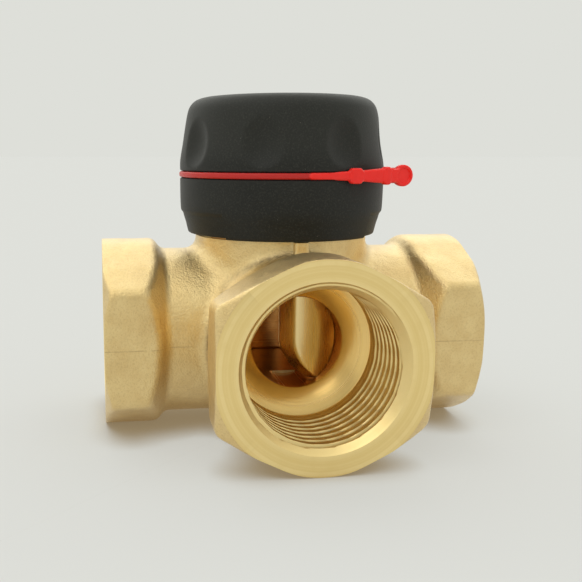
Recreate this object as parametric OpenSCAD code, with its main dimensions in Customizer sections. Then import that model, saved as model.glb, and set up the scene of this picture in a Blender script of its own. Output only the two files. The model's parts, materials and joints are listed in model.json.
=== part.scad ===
// Three-port rotary mixing valve, Rp 1, with a hand knob.
// Millimetres. +Z runs up the spindle, the front port looks towards -Y and the side ports
// along X. The origin is the centre of the foot boss, on the surface that the valve stands on.

/* [Ports] */
// Distance from the spindle axis to each port face
face_reach = 41; // [40:0.5:44]
// Width across the flats of the port hexagons
across_flats = 42.2; // [41.8:0.1:43]
// Axial length of the hexagons
hexagon_length = 12; // [11.5:0.1:14]
// Bore radius at the crests of the Rp 1 thread
thread_crest_r = 15.145; // [15:0.005:15.3]
// Length of the threaded bore, from the face
thread_length = 19; // [17:0.5:19.5]
// Radius of the chamfer at each port's mouth
mouth_r = 16.9; // [16.7:0.1:17.4]
// Radius of the throat between a port and the chamber
throat_r = 10; // [8:0.1:10.5]
// Depth of the throat's rim behind the port face
throat_depth = 23.1; // [22:0.1:23.5]
// Outer radius of the round necks
neck_r = 18.7; // [18:0.1:19]

/* [Chamber] */
// Radius of the chamber that the slide turns in
chamber_r = 16.2; // [15.9:0.1:16.4]
// Depth of the chamber floor below the port axis
chamber_drop = 9.4; // [9:0.1:10.5]
// Outer radius of the cast collar
collar_r = 19.5; // [19.3:0.1:20]
// Height of the collar's top above the port axis
collar_top = 33; // [32:0.5:33.5]

/* [Knob] */
// Radius of the knob at its groove
knob_r = 23.05; // [22.6:0.05:23.4]
// Height of the groove's middle above the port axis
groove_height = 35.5; // [35.2:0.05:35.8]
// Height of the knob's rim above the port axis
knob_top = 52.3; // [51.8:0.1:53]
// Number of finger recesses round the grip
recess_count = 8; // [6:1:10]
// Depth of each finger recess
recess_depth = 0.9; // [0.5:0.1:1.2]
// Direction of the pointer, measured from the front port towards the right port
pointer_angle = 45; // [0:1:90]
// Distance from the spindle axis to the pointer's tip
pointer_reach = 32.2; // [31:0.1:33]

/* [Hidden] */
$fn = 96;

brass = "#c79a45";
machined_brass = "#d8b25c";
black = "#262624";
plastic = "#34342f";
rubber = "#1b1b1b";
steel = "#b9bbbd";
red = "#e02a25";
pale = "#d8d8d2";

// Running gap between pieces that turn against each other
run_gap = 0.06;
// Gap between neighbours that must not touch
gap = 0.3;
// Overlap that joins solids of one piece
bite = 0.5;

// Ports. The arc that rounds the hexagon's top and bottom corners lies just inside the flats.
arc_r = across_flats / 2 - 0.05;
axis_height = arc_r;
corner_r = across_flats / sqrt(3);
face_corner_r = across_flats / 2 + 0.4;
face_chamfer = 1.6;
back_chamfer = 2.6;
back_blend = 1.8;
arc_band = 17.5;
shoulder_depth = thread_length + 1.2;
shoulder_r = thread_crest_r - 0.35;

// Foot and chamber, as heights above the port axis
foot_r = 9;
belly_low = -18.2;
belly_r = 13;
belly_high = -12;
rotor_seat = 14;
seat_r = chamber_r + 0.6;
machined_collar_r = collar_r - 0.7;
cast_top = 21.8;
clip_groove_low = 29.6;
clip_groove_high = 31;
clip_groove_r = seat_r + 0.8;
rib_w = 3;
rib_proud = 1;

// Slide
disc_low = 10.6;
disc_high = 13.7;
slide_r = chamber_r - 0.08;
slide_wall = 3;
slide_half_w = 11.3;
slide_gap_below = 0.3;
square = 8;
square_low = 7;
hub_r = 8;

// Spindle, as heights above the port axis and radii
spindle_r = 6;
flange_r = 9.4;
flange_low = 13.9;
flange_high = 15.7;
washer_high = 16.3;
drive_r = 5;
drive_flat = 3.9;
drive_low = 31.6;
spindle_top = 44;
spindle_groove_r = spindle_r - 1.5;
spindle_rings = [20, 24.4];
groove_half_h = 1.15;
clip_low = 29.9;
clip_thick = 0.8;
clip_slot_r = 5.2;
screw_hole_r = 1.6;

// Bushing
bushing_r = seat_r - 0.05;
bushing_top = 29.5;
bushing_ring_height = 21;
bushing_groove_r = bushing_r - 1.55;
seal_low = 27.4;
seal_r = 8.2;
pin_r = 1.5;
pin_reach = 12;
pin_top = 38;
pin_low = 24;
pin_tip = 0.5;

// Knob
base_bottom = 22;
base_inner_r = machined_collar_r + 0.5;
// Radius of the lower part at its foot, at its waist and at the side panels' upper step
base_foot_r = knob_r - 1.55;
base_waist_r = knob_r - 0.85;
base_step_r = knob_r - 0.15;
base_waist = 25;
foot_edge = 0.4;
base_top = groove_height - 0.8;
web_low = collar_top + 0.1;
web_hole_r = 8;
land_r = knob_r - 2;
grip_low = groove_height + 0.8;
grip_inner_r = knob_r - 3.4;
grip_fit = 0.05;
core_low = base_top + 0.2;
core_shoulder = 44.6;
core_top_r = 17;
core_inner_r = knob_r - 5.1;
// Angle between the middle of a stop web and the pin, at the end of the travel
web_angle = 12.5;
web_lift = 2.2;
core_hub_low = 36.6;
core_plate_low = 46.6;
core_plate_high = 48.9;
plate_r = 16.6;
plate_low = core_plate_high + 0.1;
plate_high = 50.5;
cap_plug_r = 3;
cap_r = 5;
cap_edge = 0.4;
cap_h = 0.9;
side_panel_low = 27.4;
side_panel_step = 0.35;
panel_angle = 45;
recess_height = 44.2;
recess_sphere_r = 15.4;
recess_wall_r = knob_r - 1.1;
base_screw_reach = 12.5;
base_screw_r = 1.25;
base_screw_depth = 6;
base_screw_head_r = 2.6;

// Screw that holds the knob, and its washer
washer_hole_r = 2.1;
washer_r = 4.5;
washer_seat = 2.9;
washer_thick = 0.55;
screw_depth = 10;
screw_head_r = 3.6;
screw_head_h = 2.2;

// Pointer
ring_half_h = 0.65;
ring_inner_r = land_r + 0.1;
ring_outer_r = knob_r + 0.1;
arm_thick = 1.3;
arm_line_r = ring_outer_r - 0.35;
arm_meet = pointer_reach - 4;
arm_tangent = acos(arm_line_r / arm_meet);
arm_run = sqrt(pow(arm_meet, 2) - pow(arm_line_r, 2));
block_half_h = 1.6;
bar_half_start = 1.1;
bar_half_end = 1.62;
bulb_r = 1.85;
tab_r = 1.6;
tip_r = 2.25;

module along_y(angle) { rotate([0, 0, angle]) children(); }
module to_axis() { translate([0, 0, axis_height]) children(); }

// A round solid on the Z axis, from its half profile of [radius, height] points
module turned(points) { rotate_extrude() polygon(points); }

// ---- Valve body ----

// A port's outside, lying along -Y from the spindle axis, centred on the port axis
module port_outside() {
    translate([0, -face_reach, 0]) rotate([-90, 0, 0]) {
        intersection() {
            rotate([0, 0, 30]) cylinder(r = corner_r, h = hexagon_length + back_blend, $fn = 6);
            union() {
                cylinder(r = arc_r, h = hexagon_length + back_blend);
                translate([-corner_r, -arc_band, 0])
                    cube([2 * corner_r, 2 * arc_band, hexagon_length + back_blend]);
            }
            turned([
                [0, 0], [face_corner_r, 0], [corner_r + 0.1, face_chamfer],
                [corner_r + 0.1, hexagon_length - back_chamfer],
                [across_flats / 2, hexagon_length],
                [neck_r + 0.2, hexagon_length + back_blend], [0, hexagon_length + back_blend]
            ]);
        }
        translate([0, 0, hexagon_length]) cylinder(r = neck_r, h = face_reach - hexagon_length);
    }
}

// A port's passage: chamfered mouth, threaded bore, conical shoulder and throat
module port_passage() {
    chamfer = mouth_r - thread_crest_r;
    translate([0, -face_reach, 0]) rotate([-90, 0, 0]) {
        turned([[0, -1], [mouth_r + 1, -1], [thread_crest_r, chamfer], [0, chamfer]]);
        cylinder(r = thread_crest_r, h = thread_length);
        turned([
            [0, thread_length - bite], [thread_crest_r - 0.01, thread_length - bite],
            [thread_crest_r - 0.01, thread_length], [shoulder_r, shoulder_depth],
            [throat_r, throat_depth], [0, throat_depth]
        ]);
        cylinder(r = throat_r, h = face_reach - 4);
    }
}

module valve_body() {
    color(brass) difference() {
        union() {
            to_axis() {
                port_outside();
                along_y(90) port_outside();
                along_y(-90) port_outside();
                turned([
                    [0, belly_low], [belly_r, belly_low], [collar_r, belly_high],
                    [collar_r, cast_top], [0, cast_top]
                ]);
                cylinder(r = machined_collar_r, h = collar_top);
                translate([-rib_w / 2, -collar_r - rib_proud, neck_r - 2])
                    cube([rib_w, 4, cast_top - neck_r + 2]);
            }
            cylinder(r = foot_r, h = axis_height + belly_low + 1);
        }
        to_axis() {
            port_passage();
            along_y(90) port_passage();
            along_y(-90) port_passage();
            translate([0, 0, -chamber_drop])
                cylinder(r = chamber_r, h = chamber_drop + collar_top + 1);
            translate([0, 0, rotor_seat]) cylinder(r = seat_r, h = collar_top);
            translate([0, 0, clip_groove_low])
                cylinder(r = clip_groove_r, h = clip_groove_high - clip_groove_low);
        }
    }
}

// ---- Slide and spindle ----

module rotor_slide() {
    color(machined_brass) to_axis() along_y(pointer_angle) {
        difference() {
            union() {
                translate([0, 0, disc_low]) cylinder(r = slide_r - gap, h = disc_high - disc_low);
                translate([0, 0, square_low - 1]) cylinder(r = hub_r, h = disc_high - square_low + 1);
            }
            translate([-square / 2, -square / 2, square_low])
                cube([square, square, disc_high]);
        }
        // The tongue that covers a throat: part of a tube, round at its lower end
        intersection() {
            difference() {
                translate([0, 0, slide_gap_below - chamber_drop])
                    cylinder(r = slide_r, h = disc_high + chamber_drop - slide_gap_below);
                translate([0, 0, -chamber_drop])
                    cylinder(r = slide_r - slide_wall, h = 2 * chamber_drop + disc_high);
            }
            union() {
                rotate([90, 0, 0]) cylinder(r = slide_half_w, h = chamber_r + 1);
                translate([-slide_half_w, -chamber_r - 1, 0])
                    cube([2 * slide_half_w, chamber_r + 1, disc_high]);
            }
        }
    }
}

module spindle() {
    tenon = square - 0.2;
    color(plastic) to_axis() along_y(pointer_angle) difference() {
        union() {
            translate([-tenon / 2, -tenon / 2, square_low + gap])
                cube([tenon, tenon, flange_low - square_low]);
            translate([0, 0, flange_low]) cylinder(r = flange_r, h = flange_high - flange_low);
            translate([0, 0, flange_high - bite])
                cylinder(r = spindle_r, h = drive_low - flange_high + bite);
            intersection() {
                translate([0, 0, drive_low - bite])
                    cylinder(r = drive_r, h = spindle_top - drive_low + bite);
                translate([-drive_r - 1, -drive_flat, drive_low - 1])
                    cube([2 * drive_r + 2, 2 * drive_flat, spindle_top]);
            }
        }
        for (height = spindle_rings) ring_groove(height, spindle_groove_r, spindle_r + 1);
        translate([0, 0, clip_low - 0.05]) difference() {
            cylinder(r = spindle_r + 1, h = clip_thick + 0.1);
            translate([0, 0, -1]) cylinder(r = clip_slot_r, h = clip_thick + 3);
        }
        translate([0, 0, spindle_top - 12]) cylinder(r = screw_hole_r, h = 13);
    }
}

// A square-sided groove round the Z axis, from radius inner to radius outer
module ring_groove(height, inner, outer) {
    translate([0, 0, height - groove_half_h]) difference() {
        cylinder(r = outer, h = 2 * groove_half_h);
        translate([0, 0, -1]) cylinder(r = inner, h = 2 * groove_half_h + 2);
    }
}

module o_ring(height, middle_r, section_r) {
    translate([0, 0, height]) rotate_extrude()
        translate([middle_r, 0]) circle(r = section_r, $fn = 48);
}

module spindle_o_ring(height) {
    section_r = (spindle_r - spindle_groove_r) / 2;
    color(rubber) to_axis() o_ring(height, spindle_groove_r + section_r + 0.02, section_r);
}

module spindle_o_ring_lower() { spindle_o_ring(spindle_rings[0]); }
module spindle_o_ring_upper() { spindle_o_ring(spindle_rings[1]); }

module thrust_washer() {
    color(pale) to_axis() translate([0, 0, flange_high + 0.02]) difference() {
        cylinder(r = flange_r - 0.2, h = washer_high - flange_high - 0.04);
        translate([0, 0, -1]) cylinder(r = spindle_r + 0.1, h = 3);
    }
}

module spindle_clip() {
    color(steel) to_axis() translate([0, 0, clip_low]) difference() {
        cylinder(r = spindle_r + 1.6, h = clip_thick);
        translate([0, 0, -1]) cylinder(r = clip_slot_r + 0.05, h = clip_thick + 2);
        rotate([0, 0, pointer_angle]) translate([-clip_slot_r * 0.8, 0, -1])
            cube([clip_slot_r * 1.6, spindle_r + 3, clip_thick + 2]);
    }
}

// ---- Bushing ----

module bonnet_bushing() {
    color(plastic) to_axis() difference() {
        translate([0, 0, rotor_seat + 0.05])
            cylinder(r = bushing_r, h = bushing_top - rotor_seat - 0.05);
        translate([0, 0, rotor_seat - 1])
            cylinder(r = flange_r + gap, h = washer_high - rotor_seat + 1);
        cylinder(r = spindle_r + run_gap, h = bushing_top + 1);
        translate([0, 0, seal_low]) cylinder(r = seal_r, h = bushing_top);
        ring_groove(bushing_ring_height, bushing_groove_r, bushing_r + 1);
        rotate([0, 0, 180 + pointer_angle]) translate([0, -pin_reach, pin_low])
            cylinder(r = pin_r, h = bushing_top);
        for (side = [-1, 1]) rotate([0, 0, pointer_angle + 90 * side])
            translate([0, -base_screw_reach, bushing_top - base_screw_depth - 1])
                cylinder(r = base_screw_r, h = base_screw_depth + 2);
    }
}

module bushing_o_ring() {
    section_r = (seat_r - bushing_groove_r) / 2;
    color(rubber) to_axis() o_ring(bushing_ring_height, bushing_groove_r + section_r, section_r - 0.02);
}

module retaining_ring() {
    thick = clip_groove_high - clip_groove_low - 0.2;
    color(steel) to_axis() translate([0, 0, clip_groove_low + 0.1]) difference() {
        cylinder(r = clip_groove_r - 0.05, h = thick);
        translate([0, 0, -1]) cylinder(r = clip_groove_r - 2.2, h = thick + 2);
        translate([-3, 0, -1]) cube([6, clip_groove_r + 1, thick + 2]);
    }
}

module dust_seal() {
    color(rubber) to_axis() translate([0, 0, seal_low + 0.05]) difference() {
        cylinder(r = seal_r - 0.05, h = 1.8);
        translate([0, 0, -1]) cylinder(r = spindle_r + run_gap, h = 4);
    }
}

module stop_pin() {
    color(steel) to_axis() rotate([0, 0, 180 + pointer_angle]) translate([0, -pin_reach, pin_low]) {
        cylinder(r = pin_r, h = pin_top - pin_low - pin_tip + 0.1);
        translate([0, 0, pin_top - pin_low - pin_tip])
            cylinder(r1 = pin_r - 0.02, r2 = pin_r - pin_tip, h = pin_tip);
    }
}

// ---- Knob ----

module knob_base() {
    color(black) to_axis() difference() {
        turned([
            [web_hole_r, web_low], [base_inner_r, web_low], [base_inner_r, base_bottom],
            [base_foot_r - foot_edge, base_bottom], [base_foot_r, base_bottom + foot_edge],
            [base_waist_r, base_waist], [base_step_r, side_panel_low + 0.1],
            [knob_r, side_panel_low + 3], [knob_r, base_top - 0.3], [knob_r - 0.3, base_top],
            [web_hole_r, base_top]
        ]);
        // The lower part steps in and up over the side ports
        for (side = [-1, 1]) intersection() {
            along_y(90 * side)
                turned_sector(90 - panel_angle, knob_r + 1, base_bottom - 1, side_panel_low);
            turned([
                [base_inner_r - 1, base_bottom - 1], [knob_r + 1, base_bottom - 1],
                [knob_r + 1, side_panel_low], [base_step_r - side_panel_step, side_panel_low],
                [base_waist_r - side_panel_step, base_waist],
                [base_foot_r - side_panel_step, base_bottom + 2 * foot_edge],
                [base_foot_r - side_panel_step - 0.3, base_bottom + foot_edge],
                [base_inner_r - 1, base_bottom + foot_edge]
            ]);
        }
        rotate([0, 0, 180 + pointer_angle]) translate([0, -pin_reach, 0])
            cylinder(r = pin_r + 0.1, h = knob_top);
        for (side = [-1, 1]) rotate([0, 0, pointer_angle + 90 * side])
            translate([0, -base_screw_reach, 0]) cylinder(r = base_screw_r + 0.2, h = knob_top);
    }
}

// A wedge of half angle `half`, pointing towards -Y, between two heights
module turned_sector(half, radius, low, high) {
    reach = radius * 1.6;
    translate([0, 0, low]) linear_extrude(high - low)
        polygon([
            [0, 0], [-reach * sin(half), -reach * cos(half)], [reach * sin(half), -reach * cos(half)]
        ]);
}

module base_screws() {
    color(steel) to_axis() for (side = [-1, 1]) rotate([0, 0, pointer_angle + 90 * side])
        translate([0, -base_screw_reach, 0]) {
            translate([0, 0, bushing_top - base_screw_depth])
                cylinder(r = base_screw_r - 0.05, h = base_top - bushing_top + base_screw_depth);
            translate([0, 0, base_top + 0.02]) screw_head(base_screw_head_r, 1.6);
        }
}

// A pan head with a cross recess, standing on z = 0
module screw_head(radius, height) {
    difference() {
        turned([[0, -0.2], [radius * 0.4, -0.2], [radius * 0.4, 0], [radius, 0], [radius, height * 0.6],
            [radius * 0.75, height], [0, height]]);
        for (turn = [0, 90]) rotate([0, 0, turn])
            translate([-radius * 0.6, -radius * 0.12, height * 0.45])
                cube([radius * 1.2, radius * 0.24, height]);
    }
}

module knob_core() {
    color(plastic) to_axis() difference() {
        union() {
            turned([
                [core_inner_r, core_low], [land_r, core_low], [land_r, grip_low - grip_fit],
                [grip_inner_r - grip_fit, grip_low - grip_fit],
                [grip_inner_r - grip_fit, core_shoulder], [core_top_r, core_plate_high],
                [0, core_plate_high], [0, core_plate_low], [core_top_r - 1, core_plate_low],
                [core_inner_r, core_shoulder - 1]
            ]);
            translate([0, 0, core_hub_low]) cylinder(r = hub_r, h = core_plate_low - core_hub_low + bite);
            // The web that meets the stop pin at either end of the travel
            for (side = [-1, 1]) rotate([0, 0, 180 + pointer_angle + side * (45 + web_angle)])
                translate([-1, -core_inner_r - bite, core_low + web_lift])
                    cube([2, core_inner_r - hub_r + 2 * bite, core_plate_low - core_low - web_lift + bite]);
        }
        along_y(pointer_angle) intersection() {
            cylinder(r = drive_r + 0.05, h = spindle_top + 0.1);
            translate([-drive_r - 1, -drive_flat - 0.05, 0])
                cube([2 * drive_r + 2, 2 * drive_flat + 0.1, spindle_top + 0.1]);
        }
        cylinder(r = washer_hole_r, h = knob_top);
        translate([0, 0, core_plate_high - washer_seat]) cylinder(r = washer_r + 0.2, h = knob_top);
    }
}

module knob_grip() {
    color(black) to_axis() difference() {
        turned([
            [grip_inner_r, grip_low], [knob_r - 0.3, grip_low], [knob_r, grip_low + 0.3],
            [knob_r - 0.05, knob_top - 13.7], [knob_r - 0.7, knob_top - 9.7],
            [knob_r - 1.3, knob_top - 5.7],
            [knob_r - 1.75, knob_top - 3.2], [knob_r - 2.35, knob_top - 1.7], [knob_r - 3.4, knob_top - 0.7],
            [knob_r - 4.6, knob_top - 0.2], [knob_r - 5.6, knob_top],
            [plate_r + 0.15, knob_top - 0.2], [plate_r + 0.15, core_plate_high + grip_fit],
            [core_top_r + grip_fit, core_plate_high + grip_fit], [grip_inner_r, core_shoulder]
        ]);
        for (index = [0 : recess_count - 1])
            rotate([0, 0, (index + 0.5) * 360 / recess_count])
                translate([0, -recess_wall_r - recess_sphere_r + recess_depth, recess_height])
                    sphere(r = recess_sphere_r);
    }
}

module pointer_ring() {
    color(red) to_axis() along_y(pointer_angle) translate([0, 0, groove_height]) {
        difference() {
            union() {
                translate([0, 0, -ring_half_h]) cylinder(r = ring_outer_r, h = 2 * ring_half_h);
                for (side = [-1, 1]) arm_frame(side) arm();
            }
            translate([0, 0, -5]) cylinder(r = ring_inner_r, h = 10);
            for (level = [-1, 1]) translate([0, 0, level * (ring_half_h + 5) - 5])
                cylinder(r = knob_r + gap, h = 10);
        }
        arm_frame(-1) pointer_tip();
    }
}

// Local frame of an arm: it starts at x = 0 on the ring's tangent point and runs along X,
// towards the meeting point, with y = 0 in the middle of its thickness and -Y outwards
module arm_frame(side) {
    rotate([0, 0, side * arm_tangent]) translate([0, -arm_line_r, 0]) scale([-side, 1, 1]) children();
}

// An arm that leaves the ring on a tangent: a slender stem, a square boss and a bar
module arm() {
    side_plate(-3.2, -2.4, 0.3, arm_thick, ring_half_h * 0.75);
    tapered_plate(-2.4, 5.8, ring_half_h, 1.15, arm_thick);
    side_plate(5.5, 8.6, 0.5, arm_thick + 0.5, block_half_h);
    tapered_plate(8.4, arm_run, bar_half_start, bar_half_end, arm_thick);
}

// The near arm's end: a raised boss, and a round tab on a coin that the far arm joins
module pointer_tip() {
    boss = arm_run - 2.1;
    coin = arm_run + 1.9;
    side_disc(boss, -0.25, bulb_r, arm_thick + 0.5);
    side_disc(coin, -0.1, tab_r, arm_thick + 0.2);
    side_disc(coin, 0.6, tip_r, arm_thick);
    side_plate(boss, coin, 0.01, arm_thick + 0.2, tab_r - 0.02);
}

// A disc standing on edge at one place along the arm, moved sideways by `offset`
module side_disc(along, offset, radius, thick) {
    translate([along, offset, 0]) rotate([90, 0, 0]) cylinder(r = radius, h = thick, center = true);
}

// A flat plate standing on edge between two places along the arm, with cut corners
module side_plate(from, to, cut, thick, half_h) {
    translate([0, thick / 2, 0]) rotate([90, 0, 0]) linear_extrude(thick) polygon([
        [from, cut - half_h], [from + cut, -half_h], [to - cut, -half_h], [to, cut - half_h],
        [to, half_h - cut], [to - cut, half_h], [from + cut, half_h], [from, half_h - cut]
    ]);
}

// A plate whose half height changes from one end to the other
module tapered_plate(from, to, half_from, half_to, thick) {
    translate([0, thick / 2, 0]) rotate([90, 0, 0]) linear_extrude(thick)
        polygon([[from, -half_from], [to, -half_to], [to, half_to], [from, half_from]]);
}

module knob_screw() {
    color(steel) to_axis() {
        translate([0, 0, spindle_top - screw_depth])
            cylinder(r = screw_hole_r - 0.03, h = core_plate_high - spindle_top + screw_depth - 2);
        translate([0, 0, core_plate_high - washer_seat + washer_thick + 0.05])
            screw_head(screw_head_r, screw_head_h);
    }
}

module screw_washer() {
    color(steel) to_axis() translate([0, 0, core_plate_high - washer_seat + 0.02]) difference() {
        cylinder(r = washer_r, h = washer_thick);
        translate([0, 0, -1]) cylinder(r = washer_hole_r, h = washer_thick + 2);
    }
}

module scale_plate() {
    color(plastic) to_axis() difference() {
        turned([
            [0, plate_low], [plate_r, plate_low], [plate_r, plate_high - 0.3],
            [plate_r - 0.3, plate_high], [0, plate_high]
        ]);
        translate([0, 0, plate_low - 1]) cylinder(r = cap_plug_r + 0.1, h = plate_high - plate_low + 2);
    }
}

module centre_cap() {
    color(red) to_axis() {
        translate([0, 0, plate_low + 0.1]) cylinder(r = cap_plug_r, h = plate_high - plate_low);
        turned([
            [0, plate_high + 0.02], [cap_r, plate_high + 0.02], [cap_r, plate_high + cap_edge],
            [cap_r - 0.6, plate_high + cap_h], [0, plate_high + cap_h]
        ]);
    }
}

valve_body();
rotor_slide();
spindle();
spindle_o_ring_lower();
spindle_o_ring_upper();
thrust_washer();
bonnet_bushing();
bushing_o_ring();
retaining_ring();
dust_seal();
spindle_clip();
stop_pin();
knob_base();
base_screws();
pointer_ring();
knob_core();
knob_grip();
knob_screw();
screw_washer();
scale_plate();
centre_cap();
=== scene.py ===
"""Looks for the three-port rotary mixing valve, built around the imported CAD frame.

Lengths in the making of each piece are millimetres, with z = 0 at the height of the port axis;
mesh_object() turns them into metres in the row frame.
"""

import json
import math

import bmesh
import bpy
import numpy as np
from mathutils import Matrix, Vector


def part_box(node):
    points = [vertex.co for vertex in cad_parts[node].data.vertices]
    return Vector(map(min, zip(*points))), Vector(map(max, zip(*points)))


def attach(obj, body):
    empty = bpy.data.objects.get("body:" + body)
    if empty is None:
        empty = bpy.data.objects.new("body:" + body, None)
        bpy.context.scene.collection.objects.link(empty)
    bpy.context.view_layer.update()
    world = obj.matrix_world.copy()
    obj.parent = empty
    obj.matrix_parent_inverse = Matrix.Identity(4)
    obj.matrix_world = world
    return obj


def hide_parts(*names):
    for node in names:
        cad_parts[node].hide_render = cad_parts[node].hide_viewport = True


MM = 0.001

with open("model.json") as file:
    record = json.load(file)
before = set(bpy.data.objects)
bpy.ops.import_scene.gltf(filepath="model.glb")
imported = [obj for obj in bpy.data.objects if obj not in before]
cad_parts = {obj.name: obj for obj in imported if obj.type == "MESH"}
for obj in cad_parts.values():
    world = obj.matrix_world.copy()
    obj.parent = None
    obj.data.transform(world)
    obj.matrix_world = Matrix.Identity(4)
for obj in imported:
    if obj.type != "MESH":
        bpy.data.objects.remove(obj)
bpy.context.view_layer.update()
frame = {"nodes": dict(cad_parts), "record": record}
RECORD = frame["record"]
MOUNTS = {mount["name"]: mount for mount in RECORD["mounts"]}


def node_box(node):
    """Lowest and highest corner of a CAD node, in millimetres, with z = 0 on the port axis."""
    low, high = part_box(node)
    lift = Vector((0, 0, AXIS_HEIGHT))
    return low / MM - lift, high / MM - lift


# ---- Sizes read from the frame ----

AXIS_HEIGHT = MOUNTS["port_front"]["pos_m"][2] / MM
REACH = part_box("valve_body")[1].x / MM
THREAD_R = MOUNTS["port_front"]["dims"]["r_mm"]
KNOB_R = node_box("knob_grip")[1].x
KNOB_TOP = node_box("knob_grip")[1].z
GRIP_LOW = node_box("knob_grip")[0].z
BASE_LOW = node_box("knob_base")[0].z
BASE_TOP = node_box("knob_base")[1].z
GROOVE = (GRIP_LOW + BASE_TOP) / 2
PLATE_LOW = node_box("scale_plate")[0].z
PLATE_TOP = node_box("scale_plate")[1].z
PLATE_R = node_box("scale_plate")[1].x
PORTS = [np.array([0.0, -1.0]), np.array([1.0, 0.0]), np.array([-1.0, 0.0])]
POINTER_ANGLE = math.radians(45)


# ---- Signed distance fields ----


def smooth_min(a, b, k):
    """The smaller of two distances, blended over a width k."""
    h = np.maximum(k - np.abs(a - b), 0) / k
    return np.minimum(a, b) - h * h * k / 4


def smooth_max(a, b, k):
    """The larger of two distances, blended over a width k."""
    return -smooth_min(-a, -b, k)


def rounded_box(x, y, half_x, half_y, radius):
    """Distance to a rectangle in the plane with corners of that radius."""
    dx = np.abs(x) - half_x + radius
    dy = np.abs(y) - half_y + radius
    outside = np.hypot(np.maximum(dx, 0), np.maximum(dy, 0))
    return outside + np.minimum(np.maximum(dx, dy), 0) - radius


def bevelled(first, second, first_weight, second_weight):
    """Distance to a slanting plane, from two offsets weighed by the plane's direction."""
    weight = math.hypot(first_weight, second_weight)
    return (first * first_weight + second * second_weight) / weight


def thickened(flat, across, half_thick, edge):
    """Distance to a flat shape given thickness, with its rims rounded."""
    a = flat + edge
    b = np.abs(across) - half_thick + edge
    return np.hypot(np.maximum(a, 0), np.maximum(b, 0)) + np.minimum(np.maximum(a, b), 0) - edge


def grid_field(field, axes):
    """The field on a grid, worked out slab by slab to keep memory low."""
    x, y, z = axes
    values = np.empty((len(x), len(y), len(z)), np.float32)
    slab = 12
    for start in range(0, len(x), slab):
        part = np.meshgrid(x[start : start + slab], y, z, indexing="ij")
        values[start : start + slab] = field(*part)
    return values


def surface_nets(field, low, high, step):
    """Vertices and quads of the surface where the field is zero, each vertex pulled onto it."""
    axes = [np.arange(a, b + step, step) for a, b in zip(low, high)]
    values = grid_field(field, axes)
    inside = values < 0
    shape = tuple(n - 1 for n in values.shape)
    corners = [(i, j, k) for i in (0, 1) for j in (0, 1) for k in (0, 1)]

    def shifted(array, offset):
        return array[tuple(slice(o, o + n) for o, n in zip(offset, shape))]

    count = sum(shifted(inside, c).astype(np.int8) for c in corners)
    cells = np.argwhere((count > 0) & (count < 8))
    index = np.full(shape, -1, np.int64)
    index[tuple(cells.T)] = np.arange(len(cells))

    total = np.zeros((len(cells), 3))
    crossings = np.zeros(len(cells))
    for axis in range(3):
        for corner in corners:
            if corner[axis]:
                continue
            far = tuple(c + (n == axis) for n, c in enumerate(corner))
            a = values[tuple((cells + corner).T)]
            b = values[tuple((cells + far).T)]
            cut = (a < 0) != (b < 0)
            share = np.where(cut, a / np.where(cut, a - b, 1), 0)
            point = np.tile(np.array(corner, float), (len(cells), 1))
            point[:, axis] = share
            total += point * cut[:, None]
            crossings += cut
    vertices = np.array(low) + (cells + total / crossings[:, None]) * step

    faces = []
    for axis in range(3):
        near = inside[tuple(slice(0, -1) if n == axis else slice(1, -1) for n in range(3))]
        far = inside[tuple(slice(1, None) if n == axis else slice(1, -1) for n in range(3))]
        first, second = [n for n in range(3) if n != axis]
        for rising in (True, False):
            where = np.argwhere(~near & far if rising else near & ~far)
            base = where.copy()
            base[:, first] += 1
            base[:, second] += 1
            ring = []
            for da, db in ((1, 1), (0, 1), (0, 0), (1, 0)):
                cell = base.copy()
                cell[:, first] -= da
                cell[:, second] -= db
                ring.append(index[tuple(cell.T)])
            quad = np.stack(ring, axis=1)
            flip = rising == (axis != 1)
            faces.append(quad[:, ::-1] if flip else quad)
    faces = np.concatenate(faces)

    nudge = step / 20
    for _ in range(4):
        distance = field(*vertices.T)
        slope = np.stack(
            [
                (field(*(vertices + d).T) - field(*(vertices - d).T)) / (2 * nudge)
                for d in np.eye(3) * nudge
            ],
            axis=1,
        )
        size = np.maximum((slope**2).sum(1), 0.05)
        move = -(distance / size)[:, None] * slope
        vertices += np.clip(move, -step, step)
    return vertices, faces


# ---- Meshes ----


def mesh_object(name, vertices, faces):
    """A mesh object from millimetre vertices, with z = 0 on the port axis."""
    points = (np.asarray(vertices, float) + [0, 0, AXIS_HEIGHT]) * MM
    mesh = bpy.data.meshes.new(name)
    mesh.from_pydata(points.tolist(), [], [list(face) for face in faces])
    mesh.validate()
    thing = bpy.data.objects.new(name, mesh)
    bpy.context.scene.collection.objects.link(thing)
    return thing


def recalculate(thing):
    """Makes the faces point outwards."""
    work = bmesh.new()
    work.from_mesh(thing.data)
    bmesh.ops.recalc_face_normals(work, faces=work.faces)
    work.to_mesh(thing.data)
    work.free()


def shade(thing, sharp_degrees=35):
    """Smooth shading with the edges over that angle kept sharp."""
    mesh = thing.data
    mesh.polygons.foreach_set("use_smooth", np.ones(len(mesh.polygons), bool))
    work = bmesh.new()
    work.from_mesh(mesh)
    limit = math.radians(sharp_degrees)
    for edge in work.edges:
        edge.smooth = len(edge.link_faces) == 2 and edge.calc_face_angle(0) < limit
    work.to_mesh(mesh)
    work.free()


def lathe(name, profile, columns=192, radius_at=None):
    """A closed ring or disc turned round the Z axis from a profile of [radius, height] points.

    radius_at(angles, radii, heights) may reshape the grid of radii and heights.
    """
    profile = np.asarray(profile, float)
    angles = np.linspace(0, 2 * math.pi, columns, endpoint=False)
    return turned_grid(name, profile, angles, radius_at)


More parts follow.
